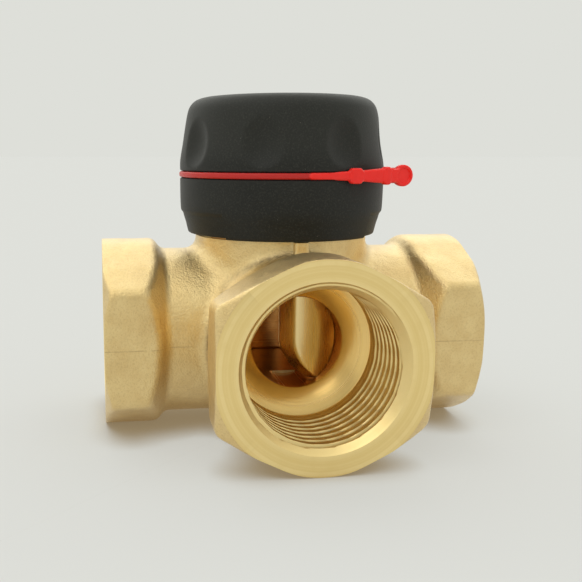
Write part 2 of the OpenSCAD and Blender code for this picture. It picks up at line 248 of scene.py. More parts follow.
def turned_grid(name, profile, angles, reshape=None):
    """A profile of [radius, height] points turned through those angles; reshape may change both."""
    radii = np.tile(profile[:, 0], (len(angles), 1))
    heights = np.tile(profile[:, 1], (len(angles), 1))
    if reshape:
        radii, heights = reshape(angles[:, None], radii, heights)
    x = radii * np.sin(angles)[:, None]
    y = -radii * np.cos(angles)[:, None]
    vertices = np.stack([x, y, heights], axis=2).reshape(-1, 3)
    rows = len(profile)
    faces = []
    for i in range(len(angles)):
        j = (i + 1) % len(angles)
        for k in range(rows):
            m = (k + 1) % rows
            faces.append([i * rows + k, j * rows + k, j * rows + m, i * rows + m])
    thing = mesh_object(name, vertices, faces)
    weld(thing)
    return thing


def weld(thing):
    """Joins vertices that lie on each other, such as those of a profile's ends on the axis."""
    work = bmesh.new()
    work.from_mesh(thing.data)
    bmesh.ops.remove_doubles(work, verts=work.verts, dist=1e-7)
    bmesh.ops.dissolve_degenerate(work, edges=work.edges, dist=1e-8)
    bmesh.ops.recalc_face_normals(work, faces=work.faces)
    work.to_mesh(thing.data)
    work.free()


def curve_through(points, spacing):
    """Points along a smooth curve through the given ones, about that far apart."""
    points = np.asarray(points, float)
    padded = np.vstack([2 * points[0] - points[1], points, 2 * points[-1] - points[-2]])
    result = []
    for a, b, c, d in zip(padded, padded[1:], padded[2:], padded[3:]):
        steps = max(2, int(np.linalg.norm(c - b) / spacing))
        for t in np.linspace(0, 1, steps, endpoint=False):
            result.append(
                0.5
                * (
                    2 * b
                    + (c - a) * t
                    + (2 * a - 5 * b + 4 * c - d) * t**2
                    + (3 * b - a - 3 * c + d) * t**3
                )
            )
    result.append(points[-1])
    return np.array(result)


def subtract(thing, cutter):
    """Takes the cutter's volume out of thing and removes the cutter."""
    modifier = thing.modifiers.new("cut", "BOOLEAN")
    modifier.operation = "DIFFERENCE"
    modifier.solver = "MANIFOLD"
    modifier.object = cutter
    cut = bpy.data.meshes.new_from_object(
        thing.evaluated_get(bpy.context.evaluated_depsgraph_get())
    )
    thing.modifiers.clear()
    old = thing.data
    thing.data = cut
    bpy.data.meshes.remove(old)
    bpy.data.objects.remove(cutter)


# ---- Valve body ----

HALF_FLATS = AXIS_HEIGHT + 0.05
ARC_R = AXIS_HEIGHT
NECK_R = 18.7
COLLAR_R = 19.5
COLLAR_TOP = 33.0
CAST_TOP = BASE_LOW - 0.2
HEX_LENGTH = 11.8
MOUTH_R = 16.8
THROAT_R = 10.0
THROAT_DEPTH = 23.1
CHAMBER_R = 16.2
CHAMBER_DROP = 9.4
SEAT_R = 16.8
SEAT_HEIGHT = 14.0
THREAD_LENGTH = 19.0
THREAD_PITCH = 2.309
THREAD_ROOT_R = 16.62
FACING = 1.2
FACING_R = 27.0
CHAMFER_SLOPE = 0.9
# The hexagon turns into arcs above and below this height, so that the valve stands low.
ARC_START = 17.5
# Weights of radius and length in the bevels at a port's face, behind its hexagon, and on the belly.
FACE_BEVEL = (1.6, 2.9)
BACK_BEVEL = (2.6, -3.33)
BELLY_BEVEL = (6.2, -6.5)
BELLY_LOW = -18.2
BELLY_LOW_R = 13.0
FILLET = 3.2
RIB_HALF_WIDTH = 1.5
RIB_HALF_HEIGHT = 2.7
RIB_HALF_DEPTH = 2.0
RIB_DROP = 2.0
RIB_PROUD = 1.6
FOOT_R = 9.0
FOOT_TOP = -16.0
# The groove for the retaining ring, from its floor to its roof, and its depth.
CLIP_LOW = 29.6
CLIP_HIGH = 31.0
CLIP_DEPTH = 0.8
# The painted crease shade fades out from this far in front of the spindle axis to its back.
CREASE_SHADE_FADE = 4.0
# Places of the body's materials in its list of slots, and the slack when faces are sorted.
MACHINED_FACE = 1
BORE_FACE = 2
FACE_MARGIN = 0.02


def port_field(direction, x, y, z, blend):
    """Distance to a port's outside: a hexagon end, rounded at top and bottom, on a round neck."""
    along = x * direction[0] + y * direction[1]
    across = x * direction[1] - y * direction[0]
    radial = np.hypot(across, z)
    side = np.abs(across) - HALF_FLATS
    slant = 0.5 * np.abs(across) + math.sqrt(0.75) * np.abs(z) - HALF_FLATS
    flats = smooth_max(side, slant, 1.5)
    arcs = smooth_min(np.abs(z) - ARC_START, radial - ARC_R, 2.0)
    hexagon = smooth_max(flats, arcs, 1.3)
    face_bevel = bevelled(radial - HALF_FLATS - 0.4, along - REACH, *FACE_BEVEL)
    back_bevel = bevelled(radial - HALF_FLATS + 0.5, along - REACH + HEX_LENGTH, *BACK_BEVEL)
    hexagon = smooth_max(hexagon, face_bevel, 0.5)
    hexagon = smooth_max(hexagon, back_bevel, 1.0)
    hexagon = np.maximum(hexagon, along - REACH - FACING)
    neck = np.maximum(radial - NECK_R, np.maximum(along - REACH + 2, -along))
    return smooth_min(hexagon, neck, 0.9 * blend)


def body_field(x, y, z, blend=1.0):
    """Distance to the outside of the cast body. A small blend leaves its creases sharp."""
    radial = np.hypot(x, y)
    belly = bevelled(radial - BELLY_LOW_R, z - BELLY_LOW, *BELLY_BEVEL)
    collar = np.maximum(radial - COLLAR_R, z - CAST_TOP - 0.8)
    collar = smooth_max(collar, BELLY_LOW - z, 1.5)
    field = smooth_max(collar, belly, 2.0)
    for direction in PORTS:
        field = smooth_min(field, port_field(direction, x, y, z, blend), FILLET * blend)
    rib = rounded_box(x, z - CAST_TOP + RIB_DROP, RIB_HALF_WIDTH, RIB_HALF_HEIGHT, 0.5)
    behind = y + COLLAR_R + RIB_PROUD - RIB_HALF_DEPTH
    rib = smooth_max(rib, np.abs(behind) - RIB_HALF_DEPTH, 0.6)
    field = smooth_min(field, rib, 0.7 * blend)
    foot = smooth_max(radial - FOOT_R, -AXIS_HEIGHT - z, 0.5)
    foot = np.maximum(foot, z - FOOT_TOP)
    field = smooth_min(field, foot, 1.5 * blend)
    upper = np.maximum(radial - COLLAR_R + 0.3, np.maximum(z - COLLAR_TOP, -z))
    return np.minimum(field, upper) + casting_wobble(x, y, z)


def casting_wobble(x, y, z):
    """How far the cast skin lies off its true shape, in slow waves and a finer ripple."""
    wave = np.sin(0.71 * x + 1.3 * np.sin(0.43 * z)) * np.sin(0.63 * y + 0.9) * np.sin(0.57 * z + 1.7)
    ripple = np.sin(1.9 * x + 0.4) * np.sin(2.1 * y + 1.1) * np.sin(1.7 * z)
    return 0.05 * wave + 0.015 * ripple


def thread_radius(angle, depth):
    """Radius of the threaded bore at an angle and a depth behind the face."""
    phase = (depth / THREAD_PITCH + angle / (2 * math.pi)) % 1.0
    crest = np.abs(phase - 0.5) * 2
    groove = np.clip((0.48 - crest) / 0.44, 0, 1)
    groove = 0.6 * groove + 0.4 * (0.5 - 0.5 * np.cos(math.pi * groove))
    run_out = np.clip((THREAD_LENGTH - 0.6 - depth) / 2.6, 0, 1)
    return THREAD_R + (THREAD_ROOT_R - THREAD_R) * groove * run_out


def port_cutter(direction):
    """The solid that faces a port, and opens its chamfer, thread, shoulder and throat."""
    columns = 160
    step = 0.1
    angles = np.linspace(0, 2 * math.pi, columns, endpoint=False)
    shoulder = THREAD_LENGTH + 0.8
    before = [(-FACING * 3, 0.0), (-FACING * 3, FACING_R), (0.0, FACING_R), (0.0, MOUTH_R)]
    behind = [
        (shoulder - 0.12, THREAD_R), (shoulder, THREAD_R - 0.35), (THROAT_DEPTH - 0.15, THROAT_R + 0.25),
        (THROAT_DEPTH + 0.1, THROAT_R), (REACH - 6, THROAT_R), (REACH - 6, 0.0),
    ]
    rows = [(depth, np.full(columns, radius)) for depth, radius in before]
    for depth in np.arange(step, THREAD_LENGTH + step / 2, step):
        chamfer = MOUTH_R - CHAMFER_SLOPE * depth
        rows.append((depth, np.maximum(thread_radius(angles, depth), chamfer)))
    rows += [(depth, np.full(columns, radius)) for depth, radius in behind]
    depths = np.array([np.full(columns, depth) for depth, radius in rows])
    radii = np.array([radius for depth, radius in rows])
    along = REACH - depths
    across = radii * np.cos(angles)
    height = radii * np.sin(angles)
    x = along * direction[0] + across * direction[1]
    y = along * direction[1] - across * direction[0]
    vertices = np.stack([x, y, height], axis=2).reshape(-1, 3)
    faces = []
    for k in range(len(rows) - 1):
        here, there = k * columns, (k + 1) * columns
        for i in range(columns):
            j = (i + 1) % columns
            faces.append([here + i, here + j, there + j, there + i])
    cutter = mesh_object("cutter", vertices, faces)
    weld(cutter)
    return cutter


def chamber_cutter():
    """The solid that opens the chamber and the bushing's seat from above."""
    return lathe(
        "chamber_cutter",
        [
            (0, -CHAMBER_DROP), (CHAMBER_R - 0.3, -CHAMBER_DROP), (CHAMBER_R, -CHAMBER_DROP + 0.3),
            (CHAMBER_R, SEAT_HEIGHT), (SEAT_R, SEAT_HEIGHT), (SEAT_R, CLIP_LOW),
            (SEAT_R + CLIP_DEPTH, CLIP_LOW), (SEAT_R + CLIP_DEPTH, CLIP_HIGH), (SEAT_R, CLIP_HIGH),
            (SEAT_R, COLLAR_TOP - 0.5), (SEAT_R + 0.5, COLLAR_TOP), (SEAT_R + 0.5, COLLAR_TOP + 3),
            (0, COLLAR_TOP + 3),
        ],
        columns=160,
    )


def collar_cutter():
    """The ring that turns the collar's upper part to size and leaves a crisp shoulder under it."""
    inner, outer, top = COLLAR_R - 0.7, COLLAR_R + 4, COLLAR_TOP + 3
    return lathe("collar_cutter", [(inner, CAST_TOP), (outer, CAST_TOP), (outer, top), (inner, top)])


def make_valve_body():
    """The cast skin, with its ports, chamber and collar machined."""
    step = 0.42
    low = (-REACH - 2.2, -REACH - 2.2, -AXIS_HEIGHT - 0.9)
    high = (REACH + 2.2, 22.5, COLLAR_TOP + 0.9)
    vertices, faces = surface_nets(body_field, low, high, step)
    body = mesh_object("valve_body_skin", vertices, faces)
    recalculate(body)
    for direction in PORTS:
        subtract(body, port_cutter(direction))
    subtract(body, chamber_cutter())
    subtract(body, collar_cutter())
    return body


def plan(points, direction):
    """Distances along a port's direction and across it."""
    return points[:, :2] @ direction, points[:, :2] @ np.array([direction[1], -direction[0]])


def classify_body(thing):
    """Gives cast skin, machined faces and bores their own material, and stores how deep each point lies in a
    fillet, for painted shade in the creases.
    """
    mesh = thing.data
    points = np.empty(len(mesh.vertices) * 3)
    mesh.vertices.foreach_get("co", points)
    points = points.reshape(-1, 3) / MM - [0, 0, AXIS_HEIGHT]
    centres = np.empty(len(mesh.polygons) * 3)
    mesh.polygons.foreach_get("center", centres)
    centres = centres.reshape(-1, 3) / MM - [0, 0, AXIS_HEIGHT]
    kind = np.zeros(len(mesh.polygons), np.int32)
    for direction in PORTS:
        along, across = plan(centres, direction)
        radial = np.hypot(across, centres[:, 2])
        in_bore = radial < MOUTH_R + 0.05
        kind[along > REACH - FACE_MARGIN] = MACHINED_FACE
        kind[in_bore & (along > CHAMBER_R - 6)] = BORE_FACE
        kind[in_bore & (along > REACH - THREAD_LENGTH - 0.7)] = MACHINED_FACE
    radial = np.hypot(centres[:, 0], centres[:, 1])
    in_chamber = (radial < SEAT_R + 1) & (centres[:, 2] > -CHAMBER_DROP - 0.1)
    kind[in_chamber & (kind == 0)] = BORE_FACE
    kind[centres[:, 2] > CAST_TOP - FACE_MARGIN] = MACHINED_FACE
    mesh.polygons.foreach_set("material_index", kind)
    # Painted shade: how deep each point lies in a fillet, fading towards the back, later darkens the creases
    # in the cast colour.
    crease_shade = body_field(*points.T, 0.001) * np.clip(-points[:, 1] / CREASE_SHADE_FADE, 0, 1)
    attribute = mesh.attributes.new("crease_shade", "FLOAT", "POINT")
    attribute.data.foreach_set("value", crease_shade.astype(np.float32))


# ---- Slide ----

SLIDE_R = 16.1
SLIDE_WALL = 3.0
SLIDE_HALF_W = 11.3
TONGUE_TOP = 13.6
DISC_MIDDLE = 12.15
DISC_HALF = 1.5
HUB_R = 8.0
HUB_MIDDLE = 9.8
HUB_HALF = 3.8
SOCKET_HALF = 4.0
SOCKET_LOW = 7.0


def turned_plan(x, y, angle):
    """Coordinates in a frame whose -Y points towards that angle from the front port."""
    return x * math.cos(angle) + y * math.sin(angle), -x * math.sin(angle) + y * math.cos(angle)


def slide_field(x, y, z):
    """Distance to the slide: a curved tongue under a disc, with a hub and a square socket."""
    x, y = turned_plan(x, y, POINTER_ANGLE)
    radial = np.hypot(x, y)
    shell = smooth_max(radial - SLIDE_R, SLIDE_R - SLIDE_WALL - radial, 0.3)
    round_end = np.hypot(x, z) - SLIDE_HALF_W
    sides = np.maximum(np.abs(x) - SLIDE_HALF_W, -z)
    tongue = np.minimum(round_end, sides)
    tongue = smooth_max(shell, tongue, 0.5)
    tongue = np.maximum(tongue, np.maximum(y, z - TONGUE_TOP))
    tongue = smooth_max(tongue, -CHAMBER_DROP + 0.35 - z, 0.3)
    disc = smooth_max(radial - SLIDE_R + 0.25, np.abs(z - DISC_MIDDLE) - DISC_HALF, 0.4)
    hub = smooth_max(radial - HUB_R, np.abs(z - HUB_MIDDLE) - HUB_HALF, 0.5)
    field = smooth_min(smooth_min(tongue, disc, 1.2), hub, 1.0)
    socket = np.maximum(np.maximum(np.abs(x), np.abs(y)) - SOCKET_HALF, SOCKET_LOW - z)
    return np.maximum(field, -socket)


def make_slide():
    """The turned slide in the chamber."""
    step = 0.33
    vertices, faces = surface_nets(slide_field, (-17, -17, -10), (17, 17, 14.6), step)
    slide = mesh_object("rotor_slide_turned", vertices, faces)
    recalculate(slide)
    shade(slide)
    return slide


# ---- Knob ----

RECESS_COUNT = 8
RECESS_HEIGHT = 44.2
RECESS_SPHERE_R = 15.4
RECESS_WALL_R = KNOB_R - 1.1
RECESS_DEPTH = 0.85
RECESS_BLEND = 0.9
# The soft grip's inside: the hard core it sits on, and the wall down to the groove.
CORE_R = 17.05
CORE_TOP = 48.95
CORE_SHOULDER = 44.6
GRIP_WALL = 3.4
# The base's inside: the hole for the core's hub, and the room over the collar.
HUB_HOLE_R = 8.0
ROOM_R = 19.3
ROOM_TOP = 33.1
SIDE_STEP = 0.35
SIDE_STEP_TOP = 27.4
SIDE_LIFT = 0.3
PANEL_HALF = math.radians(45)
EDGE_TURN = 0.012


def make_grip():
    """The soft upper part of the knob: a drum with a rounded rim and finger recesses."""
    outer = curve_through(
        [
            (KNOB_R - 0.30, GRIP_LOW), (KNOB_R - 0.06, GRIP_LOW + 0.14), (KNOB_R, GRIP_LOW + 0.45),
            (KNOB_R - 0.06, KNOB_TOP - 13.5), (KNOB_R - 0.68, KNOB_TOP - 9.7),
            (KNOB_R - 1.26, KNOB_TOP - 5.9), (KNOB_R - 1.75, KNOB_TOP - 3.3),
            (KNOB_R - 2.30, KNOB_TOP - 1.85), (KNOB_R - 3.30, KNOB_TOP - 0.75),
            (KNOB_R - 4.55, KNOB_TOP - 0.18), (KNOB_R - 5.55, KNOB_TOP), (PLATE_R + 0.45, KNOB_TOP - 0.1),
        ],
        0.35,
    )
    inner = [
        (PLATE_R + 0.15, KNOB_TOP - 0.5), (PLATE_R + 0.15, CORE_TOP), (CORE_R, CORE_TOP),
        (KNOB_R - GRIP_WALL, CORE_SHOULDER), (KNOB_R - GRIP_WALL, GRIP_LOW),
    ]

    def press_recesses(angles, radii, heights):
        """Presses spheres into the outer wall, with softened rims."""
        shown = np.arange(radii.shape[1]) < len(outer)
        centre_r = RECESS_WALL_R + RECESS_SPHERE_R - RECESS_DEPTH
        for index in range(RECESS_COUNT):
            turn = angles - (index + 0.5) * 2 * math.pi / RECESS_COUNT
            forward = centre_r * np.cos(turn)
            off = centre_r**2 * np.sin(turn) ** 2 + (heights - RECESS_HEIGHT) ** 2
            reach = RECESS_SPHERE_R**2 - off
            entry = forward - np.sqrt(np.maximum(reach, 0))
            depth = np.where((reach > 0) & (np.cos(turn) > 0), radii - entry, -1.0)
            eased = np.where(depth > 0, depth**2 / (depth + RECESS_BLEND), 0.0)
            pressed = eased * (1 + RECESS_BLEND / RECESS_DEPTH)
            radii = np.where(shown, radii - pressed, radii)
        return radii, heights

    angles = np.linspace(0, 2 * math.pi, 384, endpoint=False)
    grip = turned_grid("knob_grip_soft", np.vstack([outer, inner]), angles, press_recesses)
    shade(grip, 50)
    return grip


def make_base():
    """The knob's lower part: a skirt that tapers in to the collar, stepped over the side ports."""
    top = [(HUB_HOLE_R, BASE_TOP), (KNOB_R - 0.35, BASE_TOP)]
    skirt = curve_through(
        [
            (KNOB_R - 0.12, BASE_TOP - 0.1), (KNOB_R, BASE_TOP - 0.4), (KNOB_R - 0.01, 31.5),
            (KNOB_R - 0.08, 28.6), (KNOB_R - 0.22, 27.3), (KNOB_R - 0.52, 26.0), (KNOB_R - 0.9, 24.75),
            (KNOB_R - 1.2, 23.5), (KNOB_R - 1.44, BASE_LOW + 0.55), (KNOB_R - 1.65, BASE_LOW + 0.15),
            (KNOB_R - 2.0, BASE_LOW),
        ],
        0.3,
    )
    inside = [(ROOM_R, BASE_LOW), (ROOM_R, ROOM_TOP), (HUB_HOLE_R, ROOM_TOP)]
    columns = 240
    even = np.linspace(0, 2 * math.pi, columns, endpoint=False)
    corners = PANEL_HALF * np.array([1, 3, 5, 7])
    shifts = np.linspace(-EDGE_TURN, EDGE_TURN, 7)
    close = (corners[:, None] + shifts).ravel()
    angles = np.unique(np.concatenate([even, close]))

    def step_sides(angles, radii, heights):
        """Sets the foot back and lifts it over the two side ports."""
        side = np.abs(np.sin(angles))
        inset = np.clip((side - math.sin(PANEL_HALF)) / (EDGE_TURN / 2) + 0.5, 0, 1)
        low = np.clip((SIDE_STEP_TOP - heights) / 0.5, 0, 1)
        outside = radii > ROOM_R + 0.2
        radii = np.where(outside, radii - SIDE_STEP * inset * low, radii)
        foot = np.clip((BASE_LOW + 0.6 - heights) / 0.6, 0, 1)
        return radii, heights + SIDE_LIFT * inset * foot

    base = turned_grid("knob_base_skirt", np.vstack([top, skirt, inside]), angles, step_sides)
    shade(base, 28)
    return base


# ---- Pointer ring ----

ARM_LINE_R = KNOB_R - 0.25
ARM_MEET = 28.0
ARM_TANGENT = math.acos(ARM_LINE_R / ARM_MEET)
ARM_RUN = math.sqrt(ARM_MEET**2 - ARM_LINE_R**2)
ARM_THICK = 1.3
RING_HALF = 0.65
RING_HALF_DEPTH = 1.05
RING_MIDDLE_R = KNOB_R - 0.87
RING_INNER_R = KNOB_R - 1.9
TIP_AT = ARM_RUN + 1.9
TIP_R = 2.25
TIP_OUT = 0.35
DISH_R = 1.6
# Plates along an arm: start, end, half height at both, added thickness, corner and edge radius.
STEM = (-3.2, 6.0, 0.64, 0.98, 0.0, 0.6, 0.4)
BLOCK = (5.6, 8.5, 1.6, 1.6, 0.6, 0.75, 0.4)
BAR = (7.8, ARM_RUN - 1.5, 1.06, 1.66, 0.1, 0.4, 0.45)
BULB = (ARM_RUN - 3.0, ARM_RUN - 1.2, 1.85, 1.85, 0.7, 0.7, 0.45)
TAB = (ARM_RUN - 1.8, TIP_AT, 1.4, 1.4, 0.0, 0.3, 0.3)


def plate(along, across, height, form):
    """Distance to a plate standing on edge, whose half height changes along it."""
    start, end, half_start, half_end, added, corner, edge = form
    share = np.clip((along - start) / (end - start), 0, 1)
    half = half_start + (half_end - half_start) * share
    middle = (start + end) / 2
    flat = rounded_box(along - middle, height * half_start / half, (end - start) / 2, half_start, corner)
    return thickened(flat, across, (ARM_THICK + added) / 2, edge)


def coin(along, across, height, radius, thick, edge):
    """Distance to a disc standing on edge at the arm's tip."""
    flat = np.hypot(along - TIP_AT, height) - radius
    return thickened(flat, across, thick / 2, edge)


def arm_frame(x, y, side):
    """Along and across one arm: it starts on the ring's tangent point and runs to the meeting point."""
    x, y = turned_plan(x, y, POINTER_ANGLE + side * ARM_TANGENT)
    return -side * x, y + ARM_LINE_R


def pointer_field(x, y, z):
    """Distance to the ring and its two arms, which meet at the pointer's tip."""
    radial = np.hypot(x, y)
    field = rounded_box(radial - RING_MIDDLE_R, z, RING_HALF_DEPTH, RING_HALF, 0.45)
    for side in (-1, 1):
        along, across = arm_frame(x, y, side)
        stem, block, bar = [plate(along, across, z, form) for form in (STEM, BLOCK, BAR)]
        arm = smooth_min(smooth_min(stem, block, 0.4), bar, 0.4)
        in_groove = np.where(radial < KNOB_R + 0.25, np.abs(z) - RING_HALF - 0.01, -1)
        arm = np.maximum(arm, np.maximum(RING_INNER_R - radial, in_groove))
        field = smooth_min(field, arm, 0.3)
    along, across = arm_frame(x, y, -1)
    bulb = plate(along, across, z, BULB)
    tab = plate(along, across, z, TAB)
    disc = coin(along, across - TIP_OUT, z, TIP_R, ARM_THICK, 0.3)
    dish = coin(along, across - TIP_OUT + ARM_THICK, z, DISH_R, ARM_THICK + 0.66, 0.1)
    disc = smooth_max(smooth_min(tab, disc, 0.2), -dish, 0.15)
    return smooth_min(smooth_min(field, bulb, 0.3), disc, 0.25)


def make_pointer():
    """The moulded ring in the knob's groove, with its pointer."""
    step = 0.17

    def raised(x, y, z):
        return pointer_field(x, y, z - GROOVE)

    reach = KNOB_R + 1.4
    low = (-reach, -reach - 0.6, GROOVE - 3)
    high = (reach + 0.6, reach, GROOVE + 3)
    vertices, faces = surface_nets(raised, low, high, step)
    pointer = mesh_object("pointer_ring_moulded", vertices, faces)
    recalculate(pointer)
    shade(pointer, 60)
    return pointer


# ---- Dial ----

DIAL_SPREAD = math.radians(135)
DIAL_STEPS = 10
TICKS_PER_STEP = 4
TICK_R = 15.0
WEDGE_R = 9.2
WEDGE_WIDTH = 1.7
NUMBER_R = 11.6
NUMBER_SIZE = 2.5
DISH_DEPTH = 0.25


def make_plate():
    """The dial on top of the knob, with a slightly dished face."""
    profile = [(0, PLATE_LOW), (PLATE_R - 0.1, PLATE_LOW), (PLATE_R - 0.1, PLATE_TOP - 0.35)]
    profile += [(PLATE_R - 0.3, PLATE_TOP - 0.08), (PLATE_R - 0.7, PLATE_TOP)]
    radii = np.linspace(TICK_R, 3.2, 14)
    profile += [(r, PLATE_TOP - DISH_DEPTH * (1 - (r / TICK_R) ** 2)) for r in radii]
    profile += [(0, PLATE_TOP - DISH_DEPTH)]
    plate_piece = lathe("scale_plate_dial", profile, 192)
    shade(plate_piece, 30)
    return plate_piece


def dial_point(radius, turn):
    """A point of the dial, at an angle from the pointer's direction."""
    angle = POINTER_ANGLE + turn
    return np.array([radius * math.sin(angle), -radius * math.cos(angle)])


def make_marks():
    """Raised ticks, a wedge that grows with the setting, and the numbers 0 to 10."""
    vertices = []
    faces = []
    top = PLATE_TOP - 0.02

    def slab(outline):
        """Adds a thin upright prism on the dial."""
        start = len(vertices)
        count = len(outline)
        for height in (top - DISH_DEPTH, top + 0.03):
            vertices.extend([(point[0], point[1], height) for point in outline])
        faces.append([start + k for k in range(count)][::-1])
        faces.append([start + count + k for k in range(count)])
        for k in range(count):
            m = (k + 1) % count
            faces.append([start + k, start + m, start + count + m, start + count + k])

    ticks = DIAL_STEPS * TICKS_PER_STEP
    for index in range(ticks + 1):
        turn = DIAL_SPREAD * (2 * index / ticks - 1)
        length, half = (1.7, 0.16) if index % TICKS_PER_STEP == 0 else (0.9, 0.1)
        inner, outer = dial_point(TICK_R - length, turn), dial_point(TICK_R, turn)
        direction = (outer - inner) / np.linalg.norm(outer - inner)
        cross = np.array([-direction[1], direction[0]]) * half
        slab([inner - cross, inner + cross, outer + cross, outer - cross][::-1])
    shares = np.linspace(0, 1, 60)
    turns = DIAL_SPREAD * (2 * shares - 1)
    outer = [dial_point(WEDGE_R, turn) for turn in turns]
    inner = [dial_point(WEDGE_R - 0.1 - WEDGE_WIDTH * share, turn) for share, turn in zip(shares, turns)]
    for a, b, c, d in zip(outer, outer[1:], inner[1:], inner):
        slab([a, b, c, d])
    marks = mesh_object("dial_marks", vertices, faces)
    recalculate(marks)
    pieces = [marks]
    for number in range(DIAL_STEPS + 1):
        turn = DIAL_SPREAD * (2 * number / DIAL_STEPS - 1)
        curve = bpy.data.curves.new(f"number_{number}", "FONT")
        curve.body = str(number)
        curve.size = NUMBER_SIZE * MM
        curve.extrude = 0.12 * MM
        curve.align_x = "CENTER"
        curve.align_y = "CENTER"
        curve.resolution_u = 3
        label = bpy.data.objects.new(curve.name, curve)
        bpy.context.scene.collection.objects.link(label)
        x, y = dial_point(NUMBER_R, turn)
        label.location = (x * MM, y * MM, (AXIS_HEIGHT + top - 0.1) * MM)
        label.rotation_euler = (0, 0, POINTER_ANGLE + turn + math.pi)
        bpy.context.view_layer.update()
        mesh = bpy.data.meshes.new_from_object(label)
        mesh.transform(label.matrix_world)
        bpy.data.objects.remove(label)
        piece = bpy.data.objects.new(f"number_{number}", mesh)
        bpy.context.scene.collection.objects.link(piece)
        pieces.append(piece)
    joined = bmesh.new()
    for piece in pieces:
        joined.from_mesh(piece.data)
    joined.to_mesh(marks.data)
    joined.free()
    for piece in pieces[1:]:
        bpy.data.objects.remove(piece)
    return marks


def make_cap():
    """The plug in the middle of the dial, over the knob's screw."""
    rim = node_box("centre_cap")[1].z
    profile = [(0, rim - 2.2), (3.0, rim - 2.2), (3.0, rim - 0.9), (5.0, rim - 0.9), (5.0, rim - 0.5)]
    turns = np.linspace(0.15, 1.45, 12)
    profile += [(4.8 * math.cos(t) ** 0.6, rim - 0.45 + 0.45 * math.sin(t)) for t in turns]
    profile += [(0, rim)]
    cap = lathe("centre_cap_plug", profile, 96)
    shade(cap, 30)
    return cap


# ---- Materials ----


class Shader:
    """A node material, built up from short calls."""

    def __init__(self, name, roughness, metallic=0.0):
        self.material = bpy.data.materials.new(name)
        self.material.use_nodes = True
        self.nodes = self.material.node_tree.nodes
        self.links = self.material.node_tree.links
        self.surface = self.nodes["Principled BSDF"]
        self.surface.inputs["Roughness"].default_value = roughness
        self.surface.inputs["Metallic"].default_value = metallic
        self.place = self.nodes.new("ShaderNodeTexCoord").outputs["Object"]

    def feed(self, socket, value):
        """Links a socket to another one's value, or sets it to a constant."""
        if isinstance(value, bpy.types.NodeSocket):
            self.links.new(value, socket)
        elif value is not None:
            socket.default_value = value

    def noise(self, size, detail=3.0, roughness=0.55, stretch=None):
        """Noise whose grains are about that many millimetres across."""
        node = self.nodes.new("ShaderNodeTexNoise")
        node.inputs["Scale"].default_value = 1 / (size * MM)
        node.inputs["Detail"].default_value = detail
        node.inputs["Roughness"].default_value = roughness
        place = self.place
        if stretch:
            mapping = self.nodes.new("ShaderNodeMapping")
            mapping.inputs["Scale"].default_value = stretch
            self.links.new(self.place, mapping.inputs["Vector"])
            place = mapping.outputs["Vector"]
        self.links.new(place, node.inputs["Vector"])
        return node.outputs["Fac"]

    def cells(self, size):
        """Distance to the nearest of scattered points, about that many millimetres apart."""
        node = self.nodes.new("ShaderNodeTexVoronoi")
        node.inputs["Scale"].default_value = 1 / (size * MM)
        self.links.new(self.place, node.inputs["Vector"])
        return node.outputs["Distance"]

    def attribute(self, name):
        """A number stored on the mesh."""
        node = self.nodes.new("ShaderNodeAttribute")
        node.attribute_name = name
        return node.outputs["Fac"]

    def line_noise(self, value, scale, detail=4.0):
        """Noise along one number, for turning marks."""
        node = self.nodes.new("ShaderNodeTexNoise")
        node.noise_dimensions = "1D"
        node.inputs["Scale"].default_value = scale
        node.inputs["Detail"].default_value = detail
        self.links.new(value, node.inputs["W"])
        return node.outputs["Fac"]

    def math(self, operation, a, b=None):
        """One arithmetic step on sockets or constants."""
        node = self.nodes.new("ShaderNodeMath")
        node.operation = operation
        self.feed(node.inputs[0], a)
        self.feed(node.inputs[1], b)
        return node.outputs[0]

    def position(self):
        """Distances from the spindle axis along X and Y, and height above the port axis, in metres."""
        node = self.nodes.new("ShaderNodeSeparateXYZ")
        self.links.new(self.place, node.inputs[0])
        height = self.math("SUBTRACT", node.outputs["Z"], AXIS_HEIGHT * MM)
        return self.math("ABSOLUTE", node.outputs["X"]), self.math("ABSOLUTE", node.outputs["Y"]), height

    def length(self, first, second):
        """Length of the hypotenuse of two distances."""
        squares = [self.math("MULTIPLY", side, side) for side in (first, second)]
        return self.math("SQRT", self.math("ADD", *squares))

    def spread(self, value, low, high, to_low=0.0, to_high=1.0):
        """The value's place between low and high, spread over a new range and held within it."""
        node = self.nodes.new("ShaderNodeMapRange")
        self.feed(node.inputs["Value"], value)
        for name, number in (("From Min", low), ("From Max", high), ("To Min", to_low), ("To Max", to_high)):
            node.inputs[name].default_value = number
        return node.outputs["Result"]

    def mix(self, share, first, second):
        """The first colour turning into the second as the share grows."""
        node = self.nodes.new("ShaderNodeMix")
        node.data_type = "RGBA"
        self.feed(node.inputs["Factor"], share)
        for socket, value in ((node.inputs["A"], first), (node.inputs["B"], second)):
            self.feed(socket, value if isinstance(value, bpy.types.NodeSocket) else (*value, 1.0))
        return node.outputs["Result"]

    def colour(self, value):
        """Sets the surface's base colour."""
        self.feed(self.surface.inputs["Base Color"], value)

    def rough(self, value):
        """Sets the surface's roughness."""
        self.feed(self.surface.inputs["Roughness"], value)

    def bump(self, *layers):
        """Bump from pairs of a height between 0 and 1, and its depth in millimetres."""
        normal = None
        for value, depth in layers:
            node = self.nodes.new("ShaderNodeBump")
            node.inputs["Strength"].default_value = 1.0
            node.inputs["Distance"].default_value = depth * MM
            self.links.new(value, node.inputs["Height"])
            if normal:
                self.links.new(normal, node.inputs["Normal"])
            normal = node.outputs["Normal"]
        self.links.new(normal, self.surface.inputs["Normal"])


